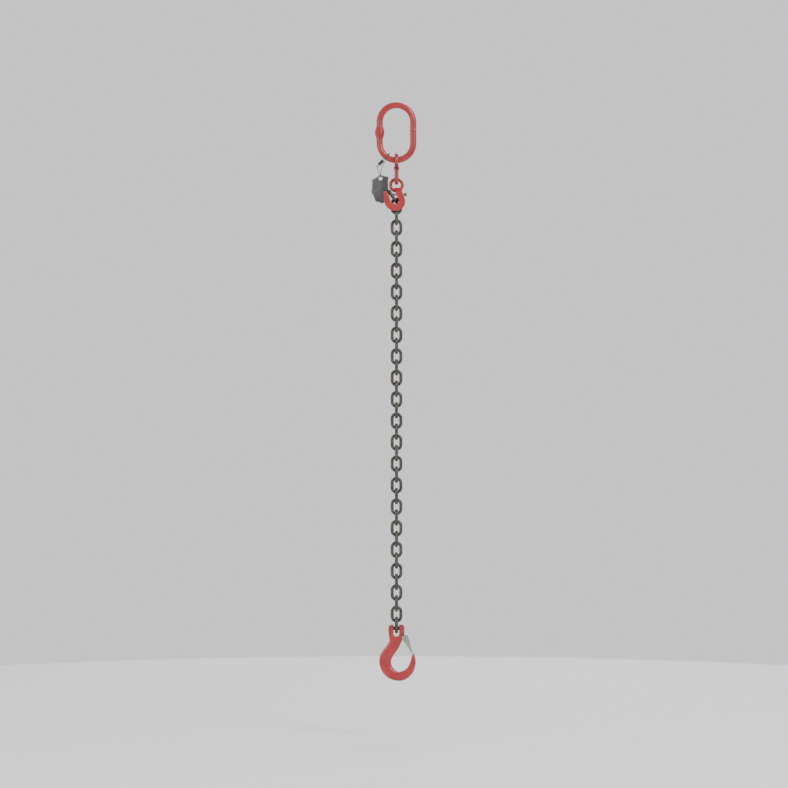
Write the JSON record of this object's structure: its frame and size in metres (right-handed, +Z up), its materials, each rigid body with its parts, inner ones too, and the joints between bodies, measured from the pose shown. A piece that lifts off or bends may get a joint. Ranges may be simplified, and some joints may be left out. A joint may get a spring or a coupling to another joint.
{
  "type": "single leg chain sling",
  "caption": "Hanging lifting sling: an oval master link, connecting link, shortening hook, welded chain leg, and a clevis hook with a spring latch at the bottom.",
  "frame": {"origin": "seat of the crane hook: the inner top of the master link, on its centre line", "axes": "+Z up along the hanging chain, +X to the right of the hook profile, whose tip points right, +Y to the back, away from the viewer of the front"},
  "size_m": [0.1027, 0.0416, 1.3027],
  "materials": {
    "red_paint": "gloss red paint over a forging",
    "chain_steel": "dark heat-treated and oiled steel",
    "dark_steel": "blackened steel",
    "bright_steel": "plain spring steel",
    "zinc_steel": "zinc plated sheet",
    "tag_steel": "dark grey coated sheet",
    "wire_rope": "thin steel wire rope",
    "ferrule_black": "black crimp"
  },
  "bodies": {
    "master_link": {"master_link": "red_paint"},
    "coupler_upper": {"coupler_upper_half": "red_paint", "coupler_pin": "dark_steel", "coupler_bush": "dark_steel"},
    "coupler_lower": {"coupler_lower_half": "red_paint"},
    "grab_hook": {"grab_hook": "red_paint", "detent_ball": "bright_steel", "detent_spring": "bright_steel"},
    "safety_pin": {"safety_pin": "zinc_steel"},
    "link_01": {"chain_link_01": "chain_steel"},
    "link_02": {"chain_link_02": "chain_steel"},
    "link_03": {"chain_link_03": "chain_steel"},
    "link_04": {"chain_link_04": "chain_steel"},
    "link_05": {"chain_link_05": "chain_steel"},
    "link_06": {"chain_link_06": "chain_steel"},
    "link_07": {"chain_link_07": "chain_steel"},
    "link_08": {"chain_link_08": "chain_steel"},
    "link_09": {"chain_link_09": "chain_steel"},
    "link_10": {"chain_link_10": "chain_steel"},
    "link_11": {"chain_link_11": "chain_steel"},
    "link_12": {"chain_link_12": "chain_steel"},
    "link_13": {"chain_link_13": "chain_steel"},
    "link_14": {"chain_link_14": "chain_steel"},
    "link_15": {"chain_link_15": "chain_steel"},
    "link_16": {"chain_link_16": "chain_steel"},
    "link_17": {"chain_link_17": "chain_steel"},
    "link_18": {"chain_link_18": "chain_steel"},
    "link_19": {"chain_link_19": "chain_steel"},
    "link_20": {"chain_link_20": "chain_steel"},
    "link_21": {"chain_link_21": "chain_steel"},
    "link_22": {"chain_link_22": "chain_steel"},
    "link_23": {"chain_link_23": "chain_steel"},
    "link_24": {"chain_link_24": "chain_steel"},
    "link_25": {"chain_link_25": "chain_steel"},
    "link_26": {"chain_link_26": "chain_steel"},
    "link_27": {"chain_link_27": "chain_steel"},
    "link_28": {"chain_link_28": "chain_steel"},
    "link_29": {"chain_link_29": "chain_steel"},
    "link_30": {"chain_link_30": "chain_steel"},
    "link_31": {"chain_link_31": "chain_steel"},
    "link_32": {"chain_link_32": "chain_steel"},
    "link_33": {"chain_link_33": "chain_steel"},
    "link_34": {"chain_link_34": "chain_steel"},
    "link_35": {"chain_link_35": "chain_steel"},
    "link_36": {"chain_link_36": "chain_steel"},
    "link_37": {"chain_link_37": "chain_steel"},
    "link_38": {"chain_link_38": "chain_steel"},
    "link_39": {"chain_link_39": "chain_steel"},
    "link_40": {"chain_link_40": "chain_steel"},
    "link_41": {"chain_link_41": "chain_steel"},
    "sling_hook": {"sling_hook": "red_paint", "clevis_pin": "dark_steel", "clevis_roll_pin": "dark_steel", "latch_pin": "zinc_steel"},
    "latch": {"latch": "zinc_steel", "latch_spring": "bright_steel"},
    "tag_wire": {"tag_wire": "wire_rope", "tag_ferrule": "ferrule_black"},
    "id_tag": {"id_tag": "tag_steel"}
  },
  "joints": [
    {"name": "coupler_swing", "type": "hinge", "parent": "master_link", "child": "coupler_upper", "pos_m": [0, 0, -0.11625], "axis": [1, 0, 0], "range_deg": [-75, 5]},
    {"name": "coupler_pivot", "type": "hinge", "parent": "coupler_upper", "child": "coupler_lower", "pos_m": [0, 0, -0.135], "axis": [0, 1, 0], "range_deg": [-35, 35]},
    {"name": "grab_hook_swing", "type": "hinge", "parent": "coupler_lower", "child": "grab_hook", "pos_m": [0, 0, -0.15475], "axis": [-1, 0, 0], "range_deg": [-12, 60]},
    {"name": "safety_pin_slide", "type": "slide", "parent": "grab_hook", "child": "safety_pin", "axis": [1, 0, 0], "range_m": [0, 0.022]},
    {"name": "link_01_swing", "type": "hinge", "parent": "grab_hook", "child": "link_01", "pos_m": [-0.0116, -0.0035, -0.194], "axis": [0.8241, 0, 0.5664], "range_deg": [0, 30]},
    {"name": "link_02_swing", "type": "hinge", "parent": "link_01", "child": "link_02", "pos_m": [0.0005, 0, -0.2116], "axis": [0, 1, 0], "range_deg": [-25, 25]},
    {"name": "link_03_swing", "type": "hinge", "parent": "link_02", "child": "link_03", "pos_m": [0, 0, -0.23575], "axis": [1, 0, 0], "range_deg": [-30, 45]},
    {"name": "link_04_swing", "type": "hinge", "parent": "link_03", "child": "link_04", "pos_m": [0, 0, -0.2599], "axis": [0, -1, 0], "range_deg": [-45, 45]},
    {"name": "link_05_swing", "type": "hinge", "parent": "link_04", "child": "link_05", "pos_m": [0, 0, -0.28405], "axis": [-1, 0, 0], "range_deg": [-45, 45]},
    {"name": "link_06_swing", "type": "hinge", "parent": "link_05", "child": "link_06", "pos_m": [0, 0, -0.3082], "axis": [0, 1, 0], "range_deg": [-45, 45]},
    {"name": "link_07_swing", "type": "hinge", "parent": "link_06", "child": "link_07", "pos_m": [0, 0, -0.33235], "axis": [1, 0, 0], "range_deg": [-45, 45]},
    {"name": "link_08_swing", "type": "hinge", "parent": "link_07", "child": "link_08", "pos_m": [0, 0, -0.3565], "axis": [0, -1, 0], "range_deg": [-45, 45]},
    {"name": "link_09_swing", "type": "hinge", "parent": "link_08", "child": "link_09", "pos_m": [0, 0, -0.38065], "axis": [-1, 0, 0], "range_deg": [-45, 45]},
    {"name": "link_10_swing", "type": "hinge", "parent": "link_09", "child": "link_10", "pos_m": [0, 0, -0.4048], "axis": [0, 1, 0], "range_deg": [-45, 45]},
    {"name": "link_11_swing", "type": "hinge", "parent": "link_10", "child": "link_11", "pos_m": [0, 0, -0.42895], "axis": [1, 0, 0], "range_deg": [-45, 45]},
    {"name": "link_12_swing", "type": "hinge", "parent": "link_11", "child": "link_12", "pos_m": [0, 0, -0.4531], "axis": [0, -1, 0], "range_deg": [-45, 45]},
    {"name": "link_13_swing", "type": "hinge", "parent": "link_12", "child": "link_13", "pos_m": [0, 0, -0.47725], "axis": [-1, 0, 0], "range_deg": [-45, 45]},
    {"name": "link_14_swing", "type": "hinge", "parent": "link_13", "child": "link_14", "pos_m": [0, 0, -0.5014], "axis": [0, 1, 0], "range_deg": [-45, 45]},
    {"name": "link_15_swing", "type": "hinge", "parent": "link_14", "child": "link_15", "pos_m": [0, 0, -0.52555], "axis": [1, 0, 0], "range_deg": [-45, 45]},
    {"name": "link_16_swing", "type": "hinge", "parent": "link_15", "child": "link_16", "pos_m": [0, 0, -0.5497], "axis": [0, -1, 0], "range_deg": [-45, 45]},
    {"name": "link_17_swing", "type": "hinge", "parent": "link_16", "child": "link_17", "pos_m": [0, 0, -0.57385], "axis": [-1, 0, 0], "range_deg": [-45, 45]},
    {"name": "link_18_swing", "type": "hinge", "parent": "link_17", "child": "link_18", "pos_m": [0, 0, -0.598], "axis": [0, 1, 0], "range_deg": [-45, 45]},
    {"name": "link_19_swing", "type": "hinge", "parent": "link_18", "child": "link_19", "pos_m": [0, 0, -0.62215], "axis": [1, 0, 0], "range_deg": [-45, 45]},
    {"name": "link_20_swing", "type": "hinge", "parent": "link_19", "child": "link_20", "pos_m": [0, 0, -0.6463], "axis": [0, -1, 0], "range_deg": [-45, 45]},
    {"name": "link_21_swing", "type": "hinge", "parent": "link_20", "child": "link_21", "pos_m": [0, 0, -0.67045], "axis": [-1, 0, 0], "range_deg": [-45, 45]},
    {"name": "link_22_swing", "type": "hinge", "parent": "link_21", "child": "link_22", "pos_m": [0, 0, -0.6946], "axis": [0, 1, 0], "range_deg": [-45, 45]},
    {"name": "link_23_swing", "type": "hinge", "parent": "link_22", "child": "link_23", "pos_m": [0, 0, -0.71875], "axis": [1, 0, 0], "range_deg": [-45, 45]},
    {"name": "link_24_swing", "type": "hinge", "parent": "link_23", "child": "link_24", "pos_m": [0, 0, -0.7429], "axis": [0, -1, 0], "range_deg": [-45, 45]},
    {"name": "link_25_swing", "type": "hinge", "parent": "link_24", "child": "link_25", "pos_m": [0, 0, -0.76705], "axis": [-1, 0, 0], "range_deg": [-45, 45]},
    {"name": "link_26_swing", "type": "hinge", "parent": "link_25", "child": "link_26", "pos_m": [0, 0, -0.7912], "axis": [0, 1, 0], "range_deg": [-45, 45]},
    {"name": "link_27_swing", "type": "hinge", "parent": "link_26", "child": "link_27", "pos_m": [0, 0, -0.81535], "axis": [1, 0, 0], "range_deg": [-45, 45]},
    {"name": "link_28_swing", "type": "hinge", "parent": "link_27", "child": "link_28", "pos_m": [0, 0, -0.8395], "axis": [0, -1, 0], "range_deg": [-45, 45]},
    {"name": "link_29_swing", "type": "hinge", "parent": "link_28", "child": "link_29", "pos_m": [0, 0, -0.86365], "axis": [-1, 0, 0], "range_deg": [-45, 45]},
    {"name": "link_30_swing", "type": "hinge", "parent": "link_29", "child": "link_30", "pos_m": [0, 0, -0.8878], "axis": [0, 1, 0], "range_deg": [-45, 45]},
    {"name": "link_31_swing", "type": "hinge", "parent": "link_30", "child": "link_31", "pos_m": [0, 0, -0.91195], "axis": [1, 0, 0], "range_deg": [-45, 45]},
    {"name": "link_32_swing", "type": "hinge", "parent": "link_31", "child": "link_32", "pos_m": [0, 0, -0.9361], "axis": [0, -1, 0], "range_deg": [-45, 45]},
    {"name": "link_33_swing", "type": "hinge", "parent": "link_32", "child": "link_33", "pos_m": [0, 0, -0.96025], "axis": [-1, 0, 0], "range_deg": [-45, 45]},
    {"name": "link_34_swing", "type": "hinge", "parent": "link_33", "child": "link_34", "pos_m": [0, 0, -0.9844], "axis": [0, 1, 0], "range_deg": [-45, 45]},
    {"name": "link_35_swing", "type": "hinge", "parent": "link_34", "child": "link_35", "pos_m": [0, 0, -1.00855], "axis": [1, 0, 0], "range_deg": [-45, 45]},
    {"name": "link_36_swing", "type": "hinge", "parent": "link_35", "child": "link_36", "pos_m": [0, 0, -1.0327], "axis": [0, -1, 0], "range_deg": [-45, 45]},
    {"name": "link_37_swing", "type": "hinge", "parent": "link_36", "child": "link_37", "pos_m": [0, 0, -1.05685], "axis": [-1, 0, 0], "range_deg": [-45, 45]},
    {"name": "link_38_swing", "type": "hinge", "parent": "link_37", "child": "link_38", "pos_m": [0, 0, -1.081], "axis": [0, 1, 0], "range_deg": [-45, 45]},
    {"name": "link_39_swing", "type": "hinge", "parent": "link_38", "child": "link_39", "pos_m": [0, 0, -1.10515], "axis": [1, 0, 0], "range_deg": [-45, 45]},
    {"name": "link_40_swing", "type": "hinge", "parent": "link_39", "child": "link_40", "pos_m": [0, 0, -1.1293], "axis": [0, -1, 0], "range_deg": [-45, 45]},
    {"name": "link_41_swing", "type": "hinge", "parent": "link_40", "child": "link_41", "pos_m": [0, 0, -1.15345], "axis": [-1, 0, 0], "range_deg": [-45, 45]},
    {"name": "sling_hook_swing", "type": "hinge", "parent": "link_41", "child": "sling_hook", "pos_m": [0, 0, -1.1694], "axis": [-1, 0, 0], "range_deg": [-70, 70]},
    {"name": "latch_open", "type": "hinge", "parent": "sling_hook", "child": "latch", "pos_m": [0.0162, 0, -1.1919], "axis": [0, 1, 0], "range_deg": [0, 45], "stiffness_Nm_per_rad": 0.05, "springref_deg": -20.05},
    {"name": "tag_wire_swing", "type": "hinge", "parent": "master_link", "child": "tag_wire", "pos_m": [-0.018, 0, -0.1117], "axis": [0.7915, 0, -0.6112], "range_deg": [0, 60]},
    {"name": "tag_swing", "type": "hinge", "parent": "tag_wire", "child": "id_tag", "pos_m": [-0.036, 0.0194, -0.153], "axis": [1, 0, 0], "range_deg": [-8, 15]}
  ]
}
